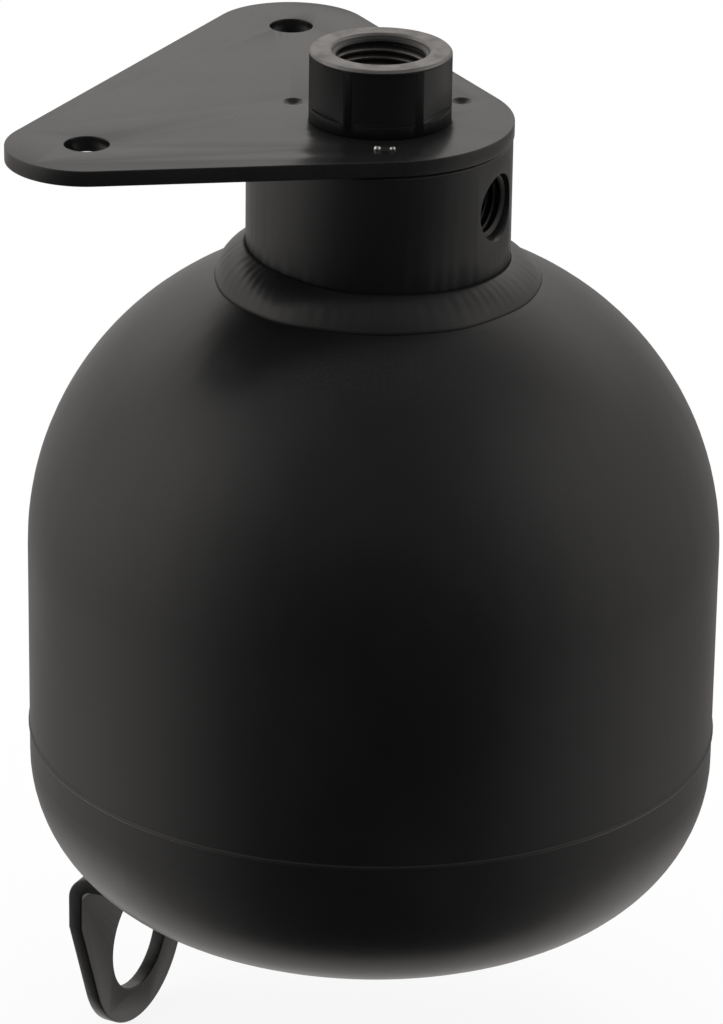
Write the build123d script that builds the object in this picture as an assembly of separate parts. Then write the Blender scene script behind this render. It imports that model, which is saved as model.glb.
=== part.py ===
# Suspension accumulator, built as separate solids in millimetres.
# Z is the axis of the pressure vessel and points up. The origin lies on that axis, in the top face
# of the bracket plate. The bracket plate and the eye bracket reach towards +Y, the side port faces -Y,
# and the plane X = 0 is a plane of symmetry.
import math
import os

from build123d import *

# Pressure vessel
BODY_R = 66.5            # outer radius of the cylindrical part
WALL = 3.0               # sheet thickness of both shells
POLE_DROP = 25.2         # pole of the upper dome below the top face of the bracket plate
UPPER_DEPTH = 60.5       # height of the upper dome
UPPER_KNUCKLE = 0.972    # its knuckle radius as a share of its height
CYLINDER_H = 43.5        # straight part between the domes
LOWER_DEPTH = 31.9       # depth of the lower dome, nearly flat in its middle
LOWER_KNUCKLE = 0.89
SEAM_UP = 6.0            # weld that joins the shells, above the rim of the lower dome
SEAM_HALF_OUT = 0.45     # half width of the weld at the outside
SEAM_HALF_IN = 0.3       # half width of the weld at the inside
SEAM_PROUD = 0.25

# Neck block
NECK_R = 25.0
NECK_CHAMFER = 0.6
SPIGOT_R = 14.0          # locating spigot in the upper shell
PASSAGE_R = 4.0
NECK_WELD_OUT = 6.0      # how far the weld reaches out over the dome
NECK_WELD_RISE = 4.6     # how far it climbs up the neck
SIDE_PORT_R = 6.0        # M12 x 1.5, modelled at the thread's outer diameter
SIDE_PORT_Z = -13.5
SIDE_PORT_DEPTH = 12.0
SIDE_PORT_CHAMFER = 0.5
CROSS_PASSAGE_R = 3.0

# Top port union
HEX_FLAT = 24.0          # across the flats, which are milled on a round body
UNION_ROUND = 1.35       # how far the round body stands out beyond the flats
UNION_TOP_Z = 13.4
UNION_CHAMFER = 0.5
COLLAR_H = 2.4           # round part left below the flats
RIM_H = 0.9              # round part left above the flats
TOP_PORT_R = 9.0         # M18 x 1.5, modelled at the thread's outer diameter
TOP_PORT_CHAMFER = 0.45
TOP_PORT_FLOOR_Z = -1.0
UNION_SPIGOT_R = 12.0
UNION_SPIGOT_Z = -9.0

# Bracket plate
PLATE_T = 3.0
PLATE_NOSE_OVER = 0.2    # how far its round end stands out beyond the neck
PLATE_EAR_R = 15.2       # round corners around the bolt holes
BOLT_X = 40.0
BOLT_Y = 40.0
BOLT_HOLE_R = 4.2        # clearance for M8
PLATE_CENTRE_GAP = 0.2   # between the union's spigot and the plate's centre hole
DIMPLE_PITCH_R = 18.3
DIMPLE_R = 1.9
DIMPLE_DEPTH = 0.9

# Diaphragm, its clamp ring and its valve button
DIAPHRAGM_T = 2.0
DIAPHRAGM_GAP = 0.4      # between the diaphragm and the upper shell
BUTTON_GAP = 0.2305      # between the button and the neck's spigot, with the diaphragm at rest
BEAD_T = 2.5
BEAD_H = 4.3
RING_H = 13.0
RING_T = 4.0
BUTTON_R = 13.0
BUTTON_T = 1.6
BUTTON_STEM_R = 4.0
WASHER_R = 9.0
WASHER_T = 1.2
RIVET_R = 5.2
RIVET_T = 1.0

# Gas charging end
BOSS_R = 8.0
BOSS_FLANGE_R = 13.0
BOSS_FLANGE_H = 3.0
BOSS_HUB_H = 3.8
BOSS_PROUD = 1.0         # below the eye bracket's foot
PLUG_THREAD_R = 4.0
PLUG_HEAD_R = 6.2
PLUG_HEAD_H = 3.4
PLUG_SOCKET_FLAT = 5.0
PLUG_SOCKET_DEPTH = 2.2
SEAL_T = 1.0
SEAL_R = 6.4
COUNTERBORE_R = 6.6
COUNTERBORE_DEPTH = 2.4

# Eye bracket
EYE_T = 3.0
EYE_Y = 51.8             # front face of the upright tab
EYE_BEND_R = 2.0         # inside bend radius
EYE_HALF_W = 23.8
EYE_SHOULDER = 6.5       # straight part of the tab's sides below the bend
EYE_DROP = 23.7          # eye centre below the lower dome
EYE_R = 11.0
EYE_RIM_R = 18.2
EYE_FOOT_R = 17.0
EYE_WELD_LEG = 2.6


def crown_radius(rim_r, depth, knuckle_r):
    # Radius of the crown that runs smoothly into the knuckle of a dished end.
    flat = rim_r - knuckle_r
    return (flat ** 2 + depth ** 2 - knuckle_r ** 2) / (2 * (depth - knuckle_r))


class Dome:
    # Dished end made of a knuckle arc and a crown arc. up is 1 for the upper end and -1 for the lower.
    def __init__(self, rim_z, depth, knuckle_share, up):
        self.rim_z = rim_z
        self.up = up
        self.knuckle_r = knuckle_share * depth
        self.knuckle_x = BODY_R - self.knuckle_r
        self.crown_r = crown_radius(BODY_R, depth, self.knuckle_r)
        self.crown_z = rim_z + up * (depth - self.crown_r)
        self.turn = math.atan2(abs(rim_z - self.crown_z), self.knuckle_x)

    def height(self, r, inset=0.0):
        # Height at radius r, for a surface inset from the outside.
        knuckle, crown = self.knuckle_r - inset, self.crown_r - inset
        if r > crown * math.cos(self.turn):
            return self.rim_z + self.up * math.sqrt(knuckle ** 2 - (r - self.knuckle_x) ** 2)
        return self.crown_z + self.up * math.sqrt(crown ** 2 - r ** 2)

    def crown_reach(self, z, inset):
        # Radius at which the crown passes the height z.
        return math.sqrt((self.crown_r - inset) ** 2 - (z - self.crown_z) ** 2)

    def on_knuckle(self, angle, inset):
        k = self.knuckle_r - inset
        return (self.knuckle_x + k * math.cos(angle), self.rim_z + self.up * k * math.sin(angle))

    def on_crown(self, angle, inset):
        c = self.crown_r - inset
        return (c * math.cos(angle), self.crown_z + self.up * c * math.sin(angle))

    def edges(self, r_to, inset=0.0, r_from=None):
        # Knuckle arc and crown arc inwards to radius r_to, from the rim or from radius r_from.
        knuckle, crown = self.knuckle_r - inset, self.crown_r - inset
        r_turn = crown * math.cos(self.turn)
        chain = []
        if r_from is None or r_from > r_turn:
            a = 0 if r_from is None else math.acos((r_from - self.knuckle_x) / knuckle)
            b = self.turn if r_to < r_turn else math.acos((r_to - self.knuckle_x) / knuckle)
            chain.append(arc(*[self.on_knuckle(t, inset) for t in (a, (a + b) / 2, b)]))
        if r_to < r_turn:
            a = self.turn if r_from is None or r_from > r_turn else math.acos(r_from / crown)
            b = math.acos(r_to / crown)
            chain.append(arc(*[self.on_crown(t, inset) for t in (a, (a + b) / 2, b)]))
        return chain


def at(point):
    # A point of the half section (radius, height) in space.
    return (point[0], 0, point[1])


def line(a, b):
    return Line(at(a), at(b))


def arc(a, b, c):
    return ThreePointArc(at(a), at(b), at(c))


def path(*points):
    return [line(a, b) for a, b in zip(points, points[1:])]


def spin(*edges):
    # Solid of revolution about Z from a closed chain of edges.
    flat = []
    for edge in edges:
        flat.extend(edge if isinstance(edge, list) else [edge])
    return revolve(make_face(flat), Axis.Z, 360)


def spin_points(*points):
    return spin(path(*points, points[0]))


UPPER_RIM_Z = -POLE_DROP - UPPER_DEPTH
LOWER_RIM_Z = UPPER_RIM_Z - CYLINDER_H
SEAM_Z = LOWER_RIM_Z + SEAM_UP
UPPER = Dome(UPPER_RIM_Z, UPPER_DEPTH, UPPER_KNUCKLE, 1)
LOWER = Dome(LOWER_RIM_Z, LOWER_DEPTH, LOWER_KNUCKLE, -1)
INNER_R = BODY_R - WALL
POLE_Z = LOWER_RIM_Z - LOWER_DEPTH
NECK_TOP_Z = -PLATE_T
UNION_R = HEX_FLAT / 2 + UNION_ROUND
SPIGOT_Z = UPPER.height(SPIGOT_R, WALL)
FOOT_Z = POLE_Z - EYE_T
BOSS_Z = FOOT_Z - BOSS_PROUD
FLAT_TOP_Z = SPIGOT_Z - BUTTON_GAP - BUTTON_T
FLAT_LOW_Z = FLAT_TOP_Z - DIAPHRAGM_T
RING_TOP_Z = LOWER_RIM_Z + 0.5 + RING_H
BEAD_Z = SEAM_Z + 1.9
SEAT_Z = BOSS_Z + COUNTERBORE_DEPTH


def make_upper_shell():
    inner, outer = SEAM_Z + SEAM_HALF_IN, SEAM_Z + SEAM_HALF_OUT
    return spin(
        line((INNER_R, inner), (BODY_R, outer)),
        line((BODY_R, outer), (BODY_R, UPPER_RIM_Z)),
        UPPER.edges(SPIGOT_R),
        line((SPIGOT_R, UPPER.height(SPIGOT_R)), (SPIGOT_R, SPIGOT_Z)),
        UPPER.edges(SPIGOT_R, WALL),
        line((INNER_R, UPPER_RIM_Z), (INNER_R, inner)))


def make_lower_shell():
    inner, outer = SEAM_Z - SEAM_HALF_IN, SEAM_Z - SEAM_HALF_OUT
    return spin(
        line((INNER_R, inner), (BODY_R, outer)),
        line((BODY_R, outer), (BODY_R, LOWER_RIM_Z)),
        LOWER.edges(BOSS_R),
        line((BOSS_R, LOWER.height(BOSS_R)), (BOSS_R, LOWER.height(BOSS_R, WALL))),
        LOWER.edges(BOSS_R, WALL),
        line((INNER_R, LOWER_RIM_Z), (INNER_R, inner)))


def make_girth_weld():
    # Thin bead right through the wall, a little proud outside.
    return spin(
        path((BODY_R, SEAM_Z + SEAM_HALF_OUT), (INNER_R, SEAM_Z + SEAM_HALF_IN),
             (INNER_R, SEAM_Z - SEAM_HALF_IN), (BODY_R, SEAM_Z - SEAM_HALF_OUT)),
        arc((BODY_R, SEAM_Z - SEAM_HALF_OUT), (BODY_R + SEAM_PROUD, SEAM_Z),
            (BODY_R, SEAM_Z + SEAM_HALF_OUT)))


def make_neck_block():
    # The underside follows the dome, and the spigot sits in the dome's hole.
    neck = spin(
        path((PASSAGE_R, UNION_SPIGOT_Z), (UNION_SPIGOT_R, UNION_SPIGOT_Z), (UNION_SPIGOT_R, NECK_TOP_Z),
             (NECK_R - NECK_CHAMFER, NECK_TOP_Z), (NECK_R, NECK_TOP_Z - NECK_CHAMFER),
             (NECK_R, UPPER.height(NECK_R))),
        UPPER.edges(SPIGOT_R, r_from=NECK_R),
        path((SPIGOT_R, UPPER.height(SPIGOT_R)), (SPIGOT_R, SPIGOT_Z), (PASSAGE_R + 1.5, SPIGOT_Z),
             (PASSAGE_R, SPIGOT_Z + 1.5), (PASSAGE_R, UNION_SPIGOT_Z)))
    floor_y = SIDE_PORT_DEPTH - NECK_R
    port = Plane((0, floor_y, SIDE_PORT_Z), x_dir=(1, 0, 0), z_dir=(0, -1, 0))
    low = (Align.CENTER, Align.CENTER, Align.MIN)
    neck -= port * Cylinder(SIDE_PORT_R, SIDE_PORT_DEPTH + 5, align=low)
    mouth = port.offset(SIDE_PORT_DEPTH - 2 * SIDE_PORT_CHAMFER)
    neck -= mouth * Cone(SIDE_PORT_R, SIDE_PORT_R + 2 * SIDE_PORT_CHAMFER, 4 * SIDE_PORT_CHAMFER, align=low)
    centre = Plane((0, 0, SIDE_PORT_Z), x_dir=(1, 0, 0), z_dir=(0, -1, 0))
    neck -= centre * Cylinder(CROSS_PASSAGE_R, -floor_y + 1, align=low)
    return neck


def make_neck_weld():
    # Full fillet bead between the neck and the dome.
    reach = NECK_R + NECK_WELD_OUT
    top = (NECK_R, UPPER.height(NECK_R) + NECK_WELD_RISE)
    toe = (reach, UPPER.height(reach))
    belly = ((top[0] + toe[0]) / 2 + 0.8, (top[1] + toe[1]) / 2 + 0.7)
    return spin(
        arc(top, belly, toe),
        UPPER.edges(NECK_R, r_from=reach),
        line((NECK_R, UPPER.height(NECK_R)), top))


def make_port_union():
    # Round body with six flats, a threaded mouth and a spigot that goes down into the neck block.
    turned = spin_points(
        (PASSAGE_R, UNION_SPIGOT_Z), (UNION_SPIGOT_R - 0.8, UNION_SPIGOT_Z),
        (UNION_SPIGOT_R, UNION_SPIGOT_Z + 0.8), (UNION_SPIGOT_R, 0), (UNION_R, 0),
        (UNION_R, UNION_TOP_Z - UNION_CHAMFER), (UNION_R - UNION_CHAMFER, UNION_TOP_Z),
        (TOP_PORT_R + TOP_PORT_CHAMFER, UNION_TOP_Z),
        (TOP_PORT_R, UNION_TOP_Z - TOP_PORT_CHAMFER), (TOP_PORT_R, TOP_PORT_FLOOR_Z),
        (PASSAGE_R, TOP_PORT_FLOOR_Z - 2.6))
    hexagon = RegularPolygon(HEX_FLAT / 2, 6, major_radius=False)
    flats = extrude(Circle(2 * UNION_R) - hexagon, UNION_TOP_Z - RIM_H - COLLAR_H)
    return turned - Pos(0, 0, COLLAR_H) * flats


def hull_outline(nose_r, ear_r, ear_x, ear_y):
    # Face bounded by a round nose at the origin, two round ears at +-ear_x and their tangents.
    reach = math.hypot(ear_x, ear_y)
    slope = math.atan2(ear_y, ear_x) + math.asin((nose_r - ear_r) / reach)
    nx, ny = math.sin(slope), -math.cos(slope)
    nose = (nose_r * nx, nose_r * ny)
    ear = (ear_x + ear_r * nx, ear_y + ear_r * ny)
    half = (math.atan2(ny, nx) + math.pi / 2) / 2
    ear_mid = (ear_x + ear_r * math.cos(half), ear_y + ear_r * math.sin(half))
    ear_top = (ear_x, ear_y + ear_r)
    def left(p):
        return (-p[0], p[1])
    return make_face([
        ThreePointArc(left(nose), (0, -nose_r), nose),
        Line(nose, ear),
        ThreePointArc(ear, ear_mid, ear_top),
        Line(ear_top, left(ear_top)),
        ThreePointArc(left(ear_top), left(ear_mid), left(ear)),
        Line(left(ear), left(nose))])


def make_bracket_plate():
    plate = extrude(hull_outline(NECK_R + PLATE_NOSE_OVER, PLATE_EAR_R, BOLT_X, BOLT_Y), -PLATE_T)
    plate -= Cylinder(UNION_SPIGOT_R + PLATE_CENTRE_GAP, 4 * PLATE_T)
    for side in (-1, 1):
        plate -= Pos(side * BOLT_X, BOLT_Y, 0) * Cylinder(BOLT_HOLE_R, 4 * PLATE_T)
    ball = (DIMPLE_R ** 2 + DIMPLE_DEPTH ** 2) / (2 * DIMPLE_DEPTH)
    for angle in (90, 210, 330):
        x = DIMPLE_PITCH_R * math.cos(math.radians(angle))
        y = DIMPLE_PITCH_R * math.sin(math.radians(angle))
        plate -= Pos(x, y, ball - DIMPLE_DEPTH) * Sphere(ball)
    return plate


def make_clamp_ring():
    # Backs the weld and holds the diaphragm's bead against the upper shell.
    low = LOWER_RIM_Z + 0.5
    return spin_points(
        (INNER_R - RING_T, low), (INNER_R, low), (INNER_R, BEAD_Z), (INNER_R - BEAD_T, BEAD_Z),
        (INNER_R - BEAD_T, RING_TOP_Z - 0.6), (INNER_R - BEAD_T - 0.6, RING_TOP_Z),
        (INNER_R - RING_T, RING_TOP_Z))


def make_diaphragm():
    # Rubber cup that lines the upper shell, with a flat middle and a thick bead at its rim.
    out, inn = WALL + DIAPHRAGM_GAP, WALL + DIAPHRAGM_GAP + DIAPHRAGM_T
    hole = BUTTON_STEM_R + 0.3
    flat = UPPER.crown_reach(FLAT_TOP_Z, out)
    dip = UPPER.crown_reach(FLAT_LOW_Z, inn)
    top = BEAD_Z + BEAD_H
    return spin(
        path((INNER_R - BEAD_T, BEAD_Z), (INNER_R, BEAD_Z), (INNER_R, top),
             (BODY_R - out, top + 1.0), (BODY_R - out, UPPER_RIM_Z)),
        UPPER.edges(flat, out),
        path((flat, FLAT_TOP_Z), (hole, FLAT_TOP_Z), (hole, FLAT_LOW_Z), (dip, FLAT_LOW_Z)),
        UPPER.edges(dip, inn),
        path((BODY_R - inn, UPPER_RIM_Z), (BODY_R - inn, top), (INNER_R - BEAD_T, top - 0.1),
             (INNER_R - BEAD_T, BEAD_Z)))


def make_valve_button():
    low = FLAT_LOW_Z - WASHER_T
    return spin_points(
        (0, FLAT_TOP_Z + BUTTON_T), (BUTTON_R - 0.5, FLAT_TOP_Z + BUTTON_T),
        (BUTTON_R, FLAT_TOP_Z + BUTTON_T - 0.5), (BUTTON_R, FLAT_TOP_Z), (BUTTON_STEM_R, FLAT_TOP_Z),
        (BUTTON_STEM_R, low), (RIVET_R, low), (RIVET_R - 0.6, low - RIVET_T), (0, low - RIVET_T))


def make_button_washer():
    return spin_points(
        (BUTTON_STEM_R, FLAT_LOW_Z), (WASHER_R, FLAT_LOW_Z), (WASHER_R, FLAT_LOW_Z - WASHER_T + 0.4),
        (WASHER_R - 0.4, FLAT_LOW_Z - WASHER_T), (BUTTON_STEM_R, FLAT_LOW_Z - WASHER_T))


def make_gas_boss():
    # Charging boss, flanged inside the lower shell and passing through the eye bracket's foot.
    inside = LOWER.height(0, WALL)
    flange_top = inside + BOSS_FLANGE_H
    hub_top = flange_top + BOSS_HUB_H
    return spin(
        path((PLUG_THREAD_R, SEAT_Z), (COUNTERBORE_R, SEAT_Z), (COUNTERBORE_R, BOSS_Z),
             (BOSS_R - 0.3, BOSS_Z), (BOSS_R, BOSS_Z + 0.3), (BOSS_R, LOWER.height(BOSS_R, WALL))),
        LOWER.edges(BOSS_R, WALL, BOSS_FLANGE_R),
        path((BOSS_FLANGE_R, LOWER.height(BOSS_FLANGE_R, WALL)), (BOSS_FLANGE_R, flange_top),
             (BOSS_R, flange_top), (BOSS_R, hub_top), (PLUG_THREAD_R, hub_top),
             (PLUG_THREAD_R, SEAT_Z)))


def make_gas_plug():
    head_top = SEAT_Z - SEAL_T
    head_low = head_top - PLUG_HEAD_H
    shank_top = LOWER.height(0, WALL) + BOSS_FLANGE_H + 1.5
    plug = spin_points(
        (0, head_low), (PLUG_HEAD_R - 0.6, head_low), (PLUG_HEAD_R, head_low + 0.6),
        (PLUG_HEAD_R, head_top), (PLUG_THREAD_R, head_top), (PLUG_THREAD_R, shank_top - 0.8),
        (PLUG_THREAD_R - 0.8, shank_top), (0, shank_top))
    socket = RegularPolygon(PLUG_SOCKET_FLAT / 2, 6, major_radius=False)
    return plug - Pos(0, 0, head_low - 1) * extrude(socket, PLUG_SOCKET_DEPTH + 1)


def make_gas_seal():
    low = SEAT_Z - SEAL_T
    return spin_points((PLUG_THREAD_R, low), (SEAL_R, low), (SEAL_R, SEAT_Z), (PLUG_THREAD_R, SEAT_Z))


def make_eye_bracket():
    # Flat foot under the lower dome, a bend, and an upright tab with a round eye.
    bend = EYE_BEND_R + EYE_T
    fold_y = EYE_Y - EYE_BEND_R
    fold_z = POLE_Z - bend
    eye_z = POLE_Z - EYE_DROP
    side = math.asin((EYE_HALF_W - EYE_FOOT_R) / fold_y)
    start = (EYE_FOOT_R * math.cos(side), -EYE_FOOT_R * math.sin(side))
    plan = make_face([
        ThreePointArc((-start[0], start[1]), (0, -EYE_FOOT_R), start),
        Line(start, (EYE_HALF_W, fold_y)),
        Line((EYE_HALF_W, fold_y), (-EYE_HALF_W, fold_y)),
        Line((-EYE_HALF_W, fold_y), (-start[0], start[1]))])
    foot = Pos(0, 0, POLE_Z) * extrude(plan, -EYE_T)
    foot -= Pos(0, 0, POLE_Z) * Cylinder(BOSS_R, 4 * EYE_T)

    half = math.sqrt(0.5)
    section = make_face([
        Line((0, fold_y, POLE_Z), (0, fold_y, POLE_Z - EYE_T)),
        ThreePointArc((0, fold_y, POLE_Z - EYE_T),
                      (0, fold_y + EYE_BEND_R * half, fold_z + EYE_BEND_R * half),
                      (0, EYE_Y, fold_z)),
        Line((0, EYE_Y, fold_z), (0, EYE_Y + EYE_T, fold_z)),
        ThreePointArc((0, EYE_Y + EYE_T, fold_z),
                      (0, fold_y + bend * half, fold_z + bend * half),
                      (0, fold_y, POLE_Z))])
    fold = extrude(section, EYE_HALF_W, dir=(1, 0, 0), both=True)

    # The tab is drawn looking along +Y: x to the right and height upwards.
    shoulder_z = fold_z - EYE_SHOULDER
    drop = shoulder_z - eye_z
    reach = math.hypot(EYE_HALF_W, drop)
    turn = math.atan2(drop, EYE_HALF_W) - math.acos(EYE_RIM_R / reach)
    touch = (EYE_RIM_R * math.cos(turn), eye_z + EYE_RIM_R * math.sin(turn))
    far = (-touch[0], touch[1])
    tab_face = make_face(
        path(far, (-EYE_HALF_W, shoulder_z), (-EYE_HALF_W, fold_z), (EYE_HALF_W, fold_z),
             (EYE_HALF_W, shoulder_z), touch)
        + [arc(touch, (0, eye_z - EYE_RIM_R), far)])
    tab = Pos(0, EYE_Y, 0) * extrude(tab_face, EYE_T, dir=(0, 1, 0))
    eye = Plane((0, EYE_Y, eye_z), x_dir=(1, 0, 0), z_dir=(0, -1, 0))
    tab -= eye * Cylinder(EYE_R, 6 * EYE_T)
    return foot + fold + tab


def make_eye_weld():
    # Ring of weld between the boss and the underside of the foot.
    mid = (BOSS_R + EYE_WELD_LEG * 0.62, FOOT_Z - BOSS_PROUD * 0.62)
    return spin(
        line((BOSS_R, FOOT_Z), (BOSS_R + EYE_WELD_LEG, FOOT_Z)),
        arc((BOSS_R + EYE_WELD_LEG, FOOT_Z), mid, (BOSS_R, FOOT_Z - BOSS_PROUD + 0.35)),
        line((BOSS_R, FOOT_Z - BOSS_PROUD + 0.35), (BOSS_R, FOOT_Z)))


SOLIDS = {
    "upper_shell": make_upper_shell,
    "lower_shell": make_lower_shell,
    "girth_weld": make_girth_weld,
    "neck_block": make_neck_block,
    "neck_weld": make_neck_weld,
    "port_union": make_port_union,
    "bracket_plate": make_bracket_plate,
    "clamp_ring": make_clamp_ring,
    "diaphragm": make_diaphragm,
    "valve_button": make_valve_button,
    "button_washer": make_button_washer,
    "gas_boss": make_gas_boss,
    "gas_plug": make_gas_plug,
    "gas_seal": make_gas_seal,
    "eye_bracket": make_eye_bracket,
    "eye_weld": make_eye_weld,
}

os.makedirs("parts", exist_ok=True)
for name, make in SOLIDS.items():
    export_step(make(), "parts/" + name + ".step")
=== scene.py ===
# Looks of the suspension accumulator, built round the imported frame. Lengths are metres unless a name says mm.
import math

import bmesh
import bpy
from mathutils import Matrix, Vector


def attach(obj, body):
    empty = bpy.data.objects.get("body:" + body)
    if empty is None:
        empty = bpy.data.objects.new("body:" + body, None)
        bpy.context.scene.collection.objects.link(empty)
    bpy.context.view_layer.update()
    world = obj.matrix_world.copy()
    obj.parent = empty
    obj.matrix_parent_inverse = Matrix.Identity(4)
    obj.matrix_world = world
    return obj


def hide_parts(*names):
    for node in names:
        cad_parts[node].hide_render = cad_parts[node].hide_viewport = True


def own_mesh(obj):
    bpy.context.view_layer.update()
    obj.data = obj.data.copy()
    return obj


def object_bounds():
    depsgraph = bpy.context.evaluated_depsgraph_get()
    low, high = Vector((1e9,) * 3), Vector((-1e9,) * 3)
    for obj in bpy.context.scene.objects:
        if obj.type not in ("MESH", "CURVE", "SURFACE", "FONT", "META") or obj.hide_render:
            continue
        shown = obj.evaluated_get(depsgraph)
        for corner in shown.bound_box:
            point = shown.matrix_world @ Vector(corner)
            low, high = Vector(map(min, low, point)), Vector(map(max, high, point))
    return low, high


MM = 0.001

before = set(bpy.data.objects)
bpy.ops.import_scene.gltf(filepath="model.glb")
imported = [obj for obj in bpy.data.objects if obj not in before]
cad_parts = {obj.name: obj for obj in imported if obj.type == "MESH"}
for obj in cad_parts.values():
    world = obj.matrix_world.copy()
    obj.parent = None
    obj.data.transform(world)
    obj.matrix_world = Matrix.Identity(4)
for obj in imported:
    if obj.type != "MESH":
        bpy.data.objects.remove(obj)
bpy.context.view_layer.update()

# Key sizes of the frame, in millimetres, as the solids have them
BODY_R = 66.5
SEAM_Z = -123.2
NECK_R = 25.0
DOME_AT_NECK = -29.28
UNION_TOP_Z = 13.4
COLLAR_H = 2.4
FRONT_DIMPLE = Vector((-15.25, -8.85))
BURR_WAY = Vector((0.454, -0.891))
TOP_THREAD = {"major": 9.0, "crest": 8.15, "pitch": 1.5, "low": -1.0, "high": 12.4}
SIDE_THREAD = {"major": 6.0, "crest": 5.15, "pitch": 1.5, "low": 13.0, "high": 24.4}
SIDE_PORT_Z = -13.5


# Materials

def link(material, a, out, b, into):
    material.node_tree.links.new(a.outputs[out], b.inputs[into])


def new_material(name):
    material = bpy.data.materials.new(name)
    material.use_nodes = True
    return material, material.node_tree.nodes["Principled BSDF"]


def node(material, kind, **values):
    made = material.node_tree.nodes.new(kind)
    for key, value in values.items():
        if key in made.inputs:
            made.inputs[key].default_value = value
        else:
            setattr(made, key, value)
    return made


def noise(material, place, scale, detail=2.0, roughness=0.5):
    made = node(material, "ShaderNodeTexNoise", Scale=scale, Detail=detail, Roughness=roughness)
    link(material, place, "Object", made, "Vector")
    return made


def ranged(material, source, out, low, high, to_low, to_high):
    made = node(material, "ShaderNodeMapRange")
    for key, value in (("From Min", low), ("From Max", high), ("To Min", to_low), ("To Max", to_high)):
        made.inputs[key].default_value = value
    link(material, source, out, made, "Value")
    return made


def bump(material, height, out, strength, distance, before=None):
    made = node(material, "ShaderNodeBump", Strength=strength, Distance=distance)
    link(material, height, out, made, "Height")
    if before is not None:
        link(material, before, "Normal", made, "Normal")
    return made


def paint(name, dark, light, rough, peel=1.0, dust=0.5, shine=0.5):
    # Semi-gloss black paint: faint orange peel, soft unevenness of gloss, fine settled dust.
    material, shader = new_material(name)
    place = node(material, "ShaderNodeTexCoord")
    patches = noise(material, place, 38.0, 4.0, 0.55)
    specks = noise(material, place, 2600.0, 2.0, 0.6)
    mix = node(material, "ShaderNodeMix", data_type="RGBA")
    mix.inputs[6].default_value = (*dark, 1)
    mix.inputs[7].default_value = (*light, 1)
    amount = node(material, "ShaderNodeMath", operation="MULTIPLY_ADD")
    link(material, ranged(material, specks, 0, 0.60, 0.74, 0.0, dust), 0, amount, 0)
    amount.inputs[1].default_value = 1.0
    link(material, ranged(material, patches, 0, 0.35, 0.75, 0.0, 0.3), 0, amount, 2)
    link(material, amount, 0, mix, 0)
    link(material, mix, 2, shader, "Base Color")
    uneven = ranged(material, patches, 0, 0.3, 0.7, rough - 0.03, rough + 0.04)
    link(material, uneven, 0, shader, "Roughness")
    peel_noise = noise(material, place, 850.0, 1.5, 0.4)
    fine = noise(material, place, 4200.0, 2.0, 0.5)
    wide = noise(material, place, 55.0, 1.0, 0.4)
    first = bump(material, wide, 0, 0.10 * peel, 0.0006)
    second = bump(material, peel_noise, 0, 0.14 * peel, 0.00006, first)
    third = bump(material, fine, 0, 0.10 * peel, 0.00002, second)
    link(material, third, "Normal", shader, "Normal")
    shader.inputs["Specular IOR Level"].default_value = shine
    return material


def steel(name, colour, rough, metallic=1.0, grain=(1.0, 1.0, 1.0), scratch=0.12):
    # Machined or plated steel: grain stretched along the tool's path, small stains.
    material, shader = new_material(name)
    place = node(material, "ShaderNodeTexCoord")
    mapping = node(material, "ShaderNodeMapping")
    mapping.inputs["Scale"].default_value = grain
    link(material, place, "Object", mapping, "Vector")
    lines = node(material, "ShaderNodeTexNoise", Scale=1500.0, Detail=3.0)
    link(material, mapping, "Vector", lines, "Vector")
    stains = noise(material, place, 220.0, 4.0, 0.6)
    mix = node(material, "ShaderNodeMix", data_type="RGBA")
    mix.inputs[6].default_value = (*colour, 1)
    mix.inputs[7].default_value = (*[c * 0.55 for c in colour], 1)
    link(material, ranged(material, stains, 0, 0.45, 0.75, 0.0, 0.8), 0, mix, 0)
    link(material, mix, 2, shader, "Base Color")
    shader.inputs["Metallic"].default_value = metallic
    link(material, ranged(material, stains, 0, 0.3, 0.7, rough - 0.06, rough + 0.10), 0, shader, "Roughness")
    link(material, bump(material, lines, 0, scratch, 0.00003), "Normal", shader, "Normal")
    return material


def rubber(name, colour):
    # Moulded rubber: matt, fine grain, bloom in faint patches.
    material, shader = new_material(name)
    place = node(material, "ShaderNodeTexCoord")
    bloom = noise(material, place, 70.0, 4.0, 0.6)
    mix = node(material, "ShaderNodeMix", data_type="RGBA")
    mix.inputs[6].default_value = (*colour, 1)
    mix.inputs[7].default_value = (*[c * 1.8 for c in colour], 1)
    link(material, ranged(material, bloom, 0, 0.4, 0.8, 0.0, 0.7), 0, mix, 0)
    link(material, mix, 2, shader, "Base Color")
    link(material, ranged(material, bloom, 0, 0.3, 0.7, 0.62, 0.78), 0, shader, "Roughness")
    grain = noise(material, place, 3000.0, 2.0, 0.5)
    link(material, bump(material, grain, 0, 0.25, 0.00005), "Normal", shader, "Normal")
    return material


shell_paint = paint("shell_paint", (0.0045, 0.0045, 0.0047), (0.012, 0.012, 0.0125), 0.31)
fitting_paint = paint("fitting_paint", (0.0045, 0.0045, 0.0047), (0.012, 0.012, 0.012), 0.32, 0.7)
bracket_paint = paint("bracket_paint", (0.0060, 0.0060, 0.0062), (0.016, 0.016, 0.016), 0.27, 1.2, 0.7)
weld_paint = paint("weld_paint", (0.0060, 0.0060, 0.0062), (0.014, 0.014, 0.014), 0.32, 1.4)
land_steel = steel("land_steel", (0.185, 0.180, 0.177), 0.36, 0.85, (1, 1, 1), 0.10)
thread_steel = steel("thread_steel", (0.16, 0.15, 0.145), 0.30, 0.9, (1, 1, 8), 0.15)
bare_steel = steel("bare_steel", (0.50, 0.49, 0.48), 0.30, 1.0, (1, 1, 10), 0.15)
plated_steel = steel("plated_steel", (0.50, 0.48, 0.43), 0.30, 1.0, (1, 1, 1), 0.10)
rubber_black = rubber("rubber_black", (0.018, 0.018, 0.019))
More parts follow.
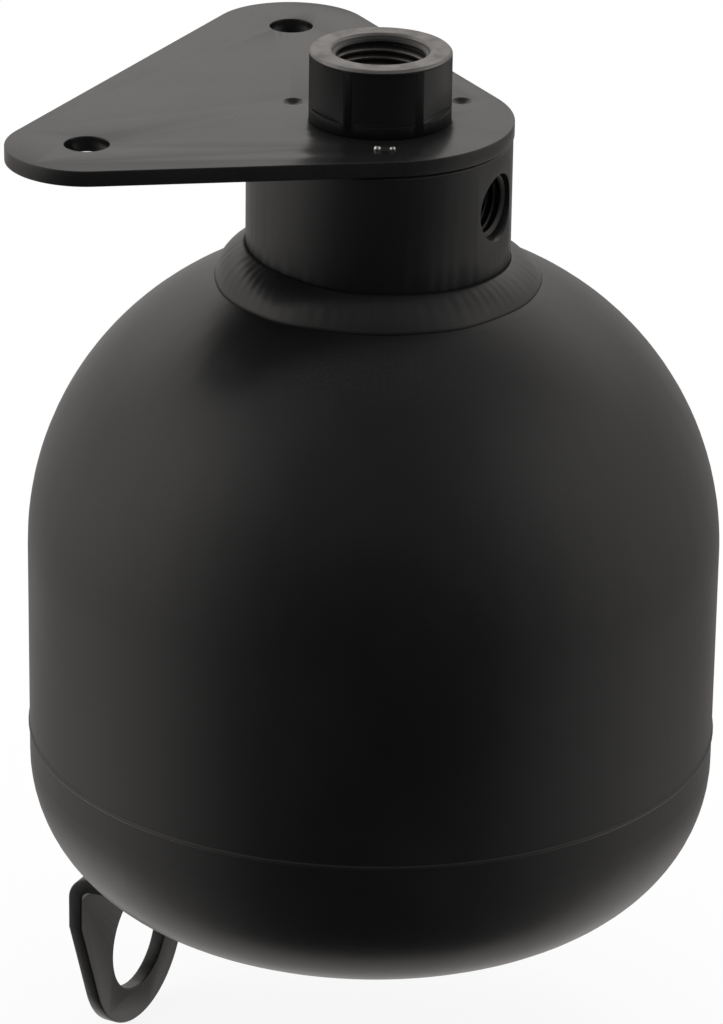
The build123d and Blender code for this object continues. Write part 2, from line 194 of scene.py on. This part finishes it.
seal_black = rubber("seal_black", (0.022, 0.022, 0.023))
# Matt paint, a little darker than the fitting's, for the union's ledges, corners and collar: painted shade.
matt_painted_shade_paint = paint("matt_painted_shade_paint", (0.0040, 0.0040, 0.0042), (0.010, 0.010, 0.010), 0.46, 1.0, 0.5, 0.2)
glint_steel = steel("glint_steel", (0.72, 0.71, 0.70), 0.14, 1.0, (1, 1, 1), 0.05)


# Meshes

def new_object(name, bm, body, slot, *materials):
    mesh = bpy.data.meshes.new(name)
    bmesh.ops.recalc_face_normals(bm, faces=bm.faces)
    bm.to_mesh(mesh)
    bm.free()
    for material in materials:
        mesh.materials.append(material)
    for face in mesh.polygons:
        face.use_smooth = True
    made = bpy.data.objects.new(name, mesh)
    bpy.context.scene.collection.objects.link(made)
    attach(made, body)
    return made


def bridged(bm, rings, closed):
    # Quads between rings of vertices that have the same length.
    for a, b in zip(rings, rings[1:]):
        count = len(a)
        for i in range(count if closed else count - 1):
            bm.faces.new((a[i], a[(i + 1) % count], b[(i + 1) % count], b[i]))


def inner_thread(name, sizes, place, slot, material):
    # Helical ridge with a sharp root and a narrow crest, faded at both ends, with a small overlap behind.
    bm = bmesh.new()
    pitch = sizes["pitch"]
    turns = (sizes["high"] - sizes["low"]) / pitch - 0.9
    steps = int(turns * 84)
    rings = []
    for i in range(steps + 1):
        t = i / steps
        angle = 2 * math.pi * turns * t
        z = sizes["low"] + pitch * 0.45 + pitch * turns * t
        fade = min(1.0, turns * t / 0.6, turns * (1 - t) / 0.6)
        crest = sizes["major"] - (sizes["major"] - sizes["crest"]) * max(0.05, fade)
        section = ((sizes["major"] + 0.04, -0.455), (sizes["major"] - 0.03, -0.435), (crest + 0.05, -0.12),
                   (crest, -0.07), (crest, 0.07), (crest + 0.05, 0.12), (sizes["major"] - 0.03, 0.435),
                   (sizes["major"] + 0.04, 0.455))
        ring = [bm.verts.new(place @ Vector((r * math.cos(angle), r * math.sin(angle), z + h * pitch)) * MM)
                for r, h in section]
        rings.append(ring)
    bridged(bm, rings, True)
    bm.faces.new(rings[0])
    bm.faces.new(rings[-1])
    return new_object(name, bm, "housing", slot, material)


def lathed(name, section, steps, slot, material, shift=None):
    # Ring with a closed section of (radius, height), which shift may change with the angle.
    bm = bmesh.new()
    rings = []
    for i in range(steps):
        angle = 2 * math.pi * i / steps
        points = section if shift is None else shift(angle)
        rings.append([bm.verts.new(Vector((r * math.cos(angle), r * math.sin(angle), z)) * MM) for r, z in points])
    bridged(bm, rings + rings[:1], True)
    return new_object(name, bm, "housing", slot, material)


def bead_section(angle):
    # Fillet bead laid by hand: full on one side, lower on the other, with the ripples of the weld pool.
    turn = angle - math.atan2(-0.891, 0.454)
    rise = 3.5 - 1.15 * math.cos(turn) + 0.12 * math.sin(3 * angle + 1.0) + 0.08 * math.sin(7 * angle)
    out = 6.0 + 0.10 * math.sin(5 * angle + 0.6) + 0.07 * math.sin(11 * angle)
    ripple = 0.016 * math.sin(76 * angle + 2.2 * math.sin(7 * angle)) + 0.010 * math.sin(41 * angle)
    top = Vector((NECK_R, DOME_AT_NECK + rise))
    toe = Vector((NECK_R + out, DOME_AT_NECK - 0.39 * out))
    chord = toe - top
    across = Vector((-chord.y, chord.x)).normalized()
    if across.x < 0:
        across = -across
    points = []
    for i in range(15):
        t = i / 14
        # The ripples bow forward in the middle of the bead.
        wave = ripple if 0 < i < 14 else 0.0
        swell = (0.24 * rise) * (1 - (2 * t - 1) ** 2)
        points.append(top + chord * t + across * (swell + wave * (1 - (2 * t - 1) ** 2)))
    points.append(toe + Vector((-0.3, -0.35)))
    points.append(Vector((NECK_R - 0.05, DOME_AT_NECK - 0.3)))
    return points


def softened(name, source, body, slot, width, materials, segments=2, limit=28.0):
    # Copy of a solid with small rounded edges, in the place of that solid.
    bm = bmesh.new()
    bm.from_mesh(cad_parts[source].data)
    bmesh.ops.remove_doubles(bm, verts=bm.verts, dist=1e-6)
    bmesh.ops.dissolve_limit(bm, angle_limit=math.radians(0.35), verts=bm.verts, edges=bm.edges)
    made = new_object(name, bm, body, slot, *materials)
    bevel = made.modifiers.new("edges", "BEVEL")
    bevel.width = width * MM
    bevel.segments = segments
    bevel.limit_method = "ANGLE"
    bevel.angle_limit = math.radians(limit)
    bevel.use_clamp_overlap = True
    bevel.harden_normals = True
    bpy.context.view_layer.update()
    graph = bpy.context.evaluated_depsgraph_get()
    final = bpy.data.meshes.new_from_object(made.evaluated_get(graph), preserve_all_data_layers=True, depsgraph=graph)
    made.modifiers.clear()
    made.data = final
    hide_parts(source)
    return made


for name, material in (("upper_shell", shell_paint), ("lower_shell", shell_paint), ("girth_weld", weld_paint),
                       ("neck_block", fitting_paint), ("neck_weld", weld_paint), ("port_union", fitting_paint),
                       ("bracket_plate", bracket_paint), ("clamp_ring", bare_steel), ("diaphragm", rubber_black),
                       ("valve_button", bare_steel), ("button_washer", bare_steel),
                       ("gas_boss", fitting_paint), ("gas_plug", plated_steel), ("gas_seal", seal_black),
                       ("eye_bracket", bracket_paint), ("eye_weld", weld_paint)):
    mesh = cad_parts[name].data
    mesh.materials.clear()
    mesh.materials.append(material)

upright = Matrix.Identity(4)
sideways = Matrix.Translation((0, 0, SIDE_PORT_Z)) @ Matrix.Rotation(math.radians(90), 4, "X")
inner_thread("top_thread", TOP_THREAD, upright, "fitting_paint", thread_steel)
inner_thread("side_thread", SIDE_THREAD, sideways, "fitting_paint", fitting_paint)
lathed("mouth", [(9.03, 12.97), (8.22, 12.16), (8.20, 12.08), (8.26, 12.0), (9.03, 11.7)], 128, "fitting_paint", fitting_paint)

union = softened("union", "port_union", "housing", "fitting_paint", 0.16, (fitting_paint, land_steel, matt_painted_shade_paint))
for face in union.data.polygons:
    # The turned end face is worn bare. The corners between the flats, the ledges and the collar take a matt paint a
    # little darker than the fitting's: painted shade.
    if face.center.z > (UNION_TOP_Z - 0.62) * MM and face.normal.z > 0.45:
        face.material_index = 1
    elif face.center.xy.length > 12.15 * MM and 0.05 * MM < face.center.z < 12.2 * MM:
        face.material_index = 2
softened("plate", "bracket_plate", "housing", "bracket_paint", 0.30, (bracket_paint,), 3)
softened("eye_lug", "eye_bracket", "housing", "bracket_paint", 0.35, (bracket_paint,), 3)
softened("neck", "neck_block", "housing", "fitting_paint", 0.18, (fitting_paint,))
softened("plug", "gas_plug", "housing", "plated_steel", 0.15, (plated_steel,))

# Two beads of burr that the punch raised beside the front dimple, worn bright
bm = bmesh.new()
for offset, radius in ((-1.4, 0.72), (1.4, 0.60)):
    spot = FRONT_DIMPLE + BURR_WAY * offset
    bmesh.ops.create_uvsphere(bm, u_segments=24, v_segments=16, radius=radius * MM,
                              matrix=Matrix.Translation(Vector((spot.x, spot.y, -0.15)) * MM))
new_object("punch_burr", bm, "housing", "bracket_paint", glint_steel)

bead = lathed("neck_bead", None, 768, "fitting_paint", weld_paint, bead_section)
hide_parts("neck_weld")

# The diaphragm's cup, a copy of the diaphragm solid
bm = bmesh.new()
bm.from_mesh(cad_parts["diaphragm"].data)
bmesh.ops.remove_doubles(bm, verts=bm.verts, dist=1e-6)
cup = new_object("diaphragm_cup", bm, "housing", "rubber", rubber_black)
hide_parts("diaphragm")
flat_low = -31.2
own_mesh(cup)


# Studio

FRONT = (-0.891, -0.454, 0.0)
RIGHT = (0.454, -0.891, 0.0)
PANELS = ((-1.0, 0.42), (-0.85, 0.38), (-0.6, 0.43), (-0.2, 0.62), (0.25, 0.58), (0.6, 0.26), (0.8, 0.08), (1.0, 0.02))
RIGHT_SHARE = 0.72
WINDOW = ((-0.97, 0.08), (-0.7, 0.8), (-0.35, 1.0), (-0.05, 1.45), (0.5, 1.75), (0.72, 1.2), (0.88, 0.25), (1.0, 0.05))
UNDER = 0.55
OVERHEAD = ((-0.1, 0.0), (0.4, 0.05), (0.85, 0.16), (1.0, 0.14))
BACK = 0.42
SOFT = 0.6
ROOM_COLOUR = (1.0, 0.96, 0.93, 1.0)


def softbox(name, place, target, wide, high, power):
    light = bpy.data.lights.new(name, "AREA")
    light.shape = "RECTANGLE"
    light.size = wide
    light.size_y = high
    light.energy = power
    made = bpy.data.objects.new(name, light)
    made.location = place
    made.rotation_euler = (Vector(target) - Vector(place)).to_track_quat("-Z", "Y").to_euler()
    bpy.context.scene.collection.objects.link(made)
    made.visible_glossy = False
    return made


# Pale floor, which keeps a soft shadow and is white to the camera further out
bm = bmesh.new()
bmesh.ops.create_circle(bm, cap_ends=True, segments=96, radius=0.42)
mesh = bpy.data.meshes.new("floor")
bm.to_mesh(mesh)
bm.free()
floor = bpy.data.objects.new("floor", mesh)
floor.location = (0, 0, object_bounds()[0].z - 0.0005)
bpy.context.scene.collection.objects.link(floor)
material, shader = new_material("floor")
shader.inputs["Base Color"].default_value = (0.8, 0.8, 0.8, 1)
shader.inputs["Roughness"].default_value = 0.9
shader.inputs["Specular IOR Level"].default_value = 0.0
tree = material.node_tree
output = tree.nodes["Material Output"]
white = node(material, "ShaderNodeEmission", Strength=1.0)
white.inputs["Color"].default_value = (1, 1, 1, 1)
rays = node(material, "ShaderNodeLightPath")
place = node(material, "ShaderNodeTexCoord")
far = node(material, "ShaderNodeVectorMath", operation="LENGTH")
link(material, place, "Object", far, 0)
share = ranged(material, far, "Value", 0.05, 0.26, 0.90, 1.0)
seen = node(material, "ShaderNodeMath", operation="MULTIPLY")
link(material, rays, "Is Camera Ray", seen, 0)
link(material, share, 0, seen, 1)
mixed = node(material, "ShaderNodeMixShader")
link(material, seen, 0, mixed, 0)
link(material, shader, 0, mixed, 1)
link(material, white, 0, mixed, 2)
clear = node(material, "ShaderNodeBsdfTransparent")
room_ray = node(material, "ShaderNodeMath", operation="MAXIMUM")
link(material, rays, "Is Glossy Ray", room_ray, 0)
link(material, rays, "Is Transmission Ray", room_ray, 1)
passed = node(material, "ShaderNodeMixShader")
link(material, room_ray, 0, passed, 0)
link(material, mixed, 0, passed, 1)
link(material, clear, 0, passed, 2)
link(material, passed, 0, output, "Surface")
mesh.materials.append(material)

# Room: white to the camera, and for reflections pale beside and behind the object and dark at its front
world = bpy.data.worlds.new("studio")
bpy.context.scene.world = world
world.use_nodes = True
tree = world.node_tree
tree.nodes.clear()


def room(kind, *inputs, **values):
    # Node of the world, with its inputs in order: another node's output, or a value.
    made = tree.nodes.new(kind)
    for key, value in values.items():
        setattr(made, key, value)
    for i, source in enumerate(inputs):
        if isinstance(source, bpy.types.NodeSocket):
            tree.links.new(source, made.inputs[i])
        elif source is not None:
            made.inputs[i].default_value = source
    return made.outputs[0]


def maths(operation, *inputs):
    return room("ShaderNodeMath", *inputs, operation=operation)


def stepped(source, low, high, to_low, to_high):
    return room("ShaderNodeMapRange", source, low, high, to_low, to_high, interpolation_type="SMOOTHSTEP")


def curve(source, stops):
    # Value along a row of stops, for a source from -1 to 1.
    made = tree.nodes.new("ShaderNodeValToRGB")
    tree.links.new(maths("MULTIPLY_ADD", source, 0.5, 0.5), made.inputs[0])
    ramp = made.color_ramp
    while len(ramp.elements) > 1:
        ramp.elements.remove(ramp.elements[0])
    for i, (at, level) in enumerate(stops):
        stop = ramp.elements[0] if i == 0 else ramp.elements.new((at + 1) / 2)
        stop.position = (at + 1) / 2
        stop.color = (level, level, level, 1)
    return made.outputs[0]


def along(direction, axis):
    made = tree.nodes.new("ShaderNodeVectorMath")
    made.operation = "DOT_PRODUCT"
    tree.links.new(direction, made.inputs[0])
    made.inputs[1].default_value = axis
    return made.outputs["Value"]


way = tree.nodes.new("ShaderNodeTexCoord").outputs["Generated"]
flat = room("ShaderNodeVectorMath", room("ShaderNodeVectorMath", way, (1, 1, 0), operation="MULTIPLY"),
            operation="NORMALIZE")
toward = along(flat, FRONT)
height = along(way, (0, 0, 1))
panels = curve(toward, PANELS)
panels = maths("MULTIPLY", panels, stepped(along(flat, RIGHT), -0.6, 0.6, 1.0, RIGHT_SHARE))
panels = maths("MULTIPLY", panels, curve(height, WINDOW))
back = maths("MULTIPLY", stepped(height, 0.12, 0.46, 0.0, 1.0), stepped(height, 0.9, 0.5, 0.0, BACK))
back = maths("MULTIPLY", back, stepped(toward, -0.35, -0.85, 0.0, 1.0))
under = maths("MULTIPLY", stepped(height, -0.42, -0.72, 0.0, UNDER), stepped(toward, 0.1, -0.5, 0.0, 1.0))
level = maths("ADD", maths("ADD", panels, back), maths("ADD", under, curve(height, OVERHEAD)))
reflected = room("ShaderNodeBackground", ROOM_COLOUR, level)
soft = room("ShaderNodeBackground", (1, 1, 1, 1), SOFT)
backdrop = room("ShaderNodeBackground", (1, 1, 1, 1), 1.0)
paths = tree.nodes.new("ShaderNodeLightPath").outputs
mirror = maths("MAXIMUM", paths["Is Glossy Ray"], paths["Is Transmission Ray"])
surroundings = room("ShaderNodeMixShader", mirror, soft, reflected)
seen = room("ShaderNodeMixShader", paths["Is Camera Ray"], surroundings, backdrop)
end = tree.nodes.new("ShaderNodeOutputWorld")
tree.links.new(seen, end.inputs["Surface"])

softbox("key_top", (0.1, 0.05, 0.75), (0, 0, -0.05), 0.7, 0.7, 6.0)

# Camera at the photograph's angle
AZIMUTH = math.radians(-63.0)
PITCH = math.radians(23.151)
ROLL = math.radians(0.823)
ahead = Vector((-math.sin(AZIMUTH), math.cos(AZIMUTH), 0))
side = Vector((math.cos(AZIMUTH), math.sin(AZIMUTH), 0))
up = Vector((0, 0, 1))
down = -math.sin(PITCH) * ahead - math.cos(PITCH) * up
forward = math.cos(PITCH) * ahead - math.sin(PITCH) * up
right = math.cos(ROLL) * side - math.sin(ROLL) * down
below = math.sin(ROLL) * side + math.cos(ROLL) * down
lens = bpy.data.cameras.new("camera")
lens.sensor_width = 36.0
lens.lens = 5515.79 / 1024 * 36.0
camera = bpy.data.objects.new("camera", lens)
turn = Matrix((right, -below, -forward)).transposed().to_4x4()
camera.matrix_world = Matrix.Translation((-0.8698, -0.4405, 0.3367)) @ turn
bpy.context.scene.collection.objects.link(camera)
bpy.context.scene.camera = camera
bpy.context.scene.view_settings.view_transform = "Standard"
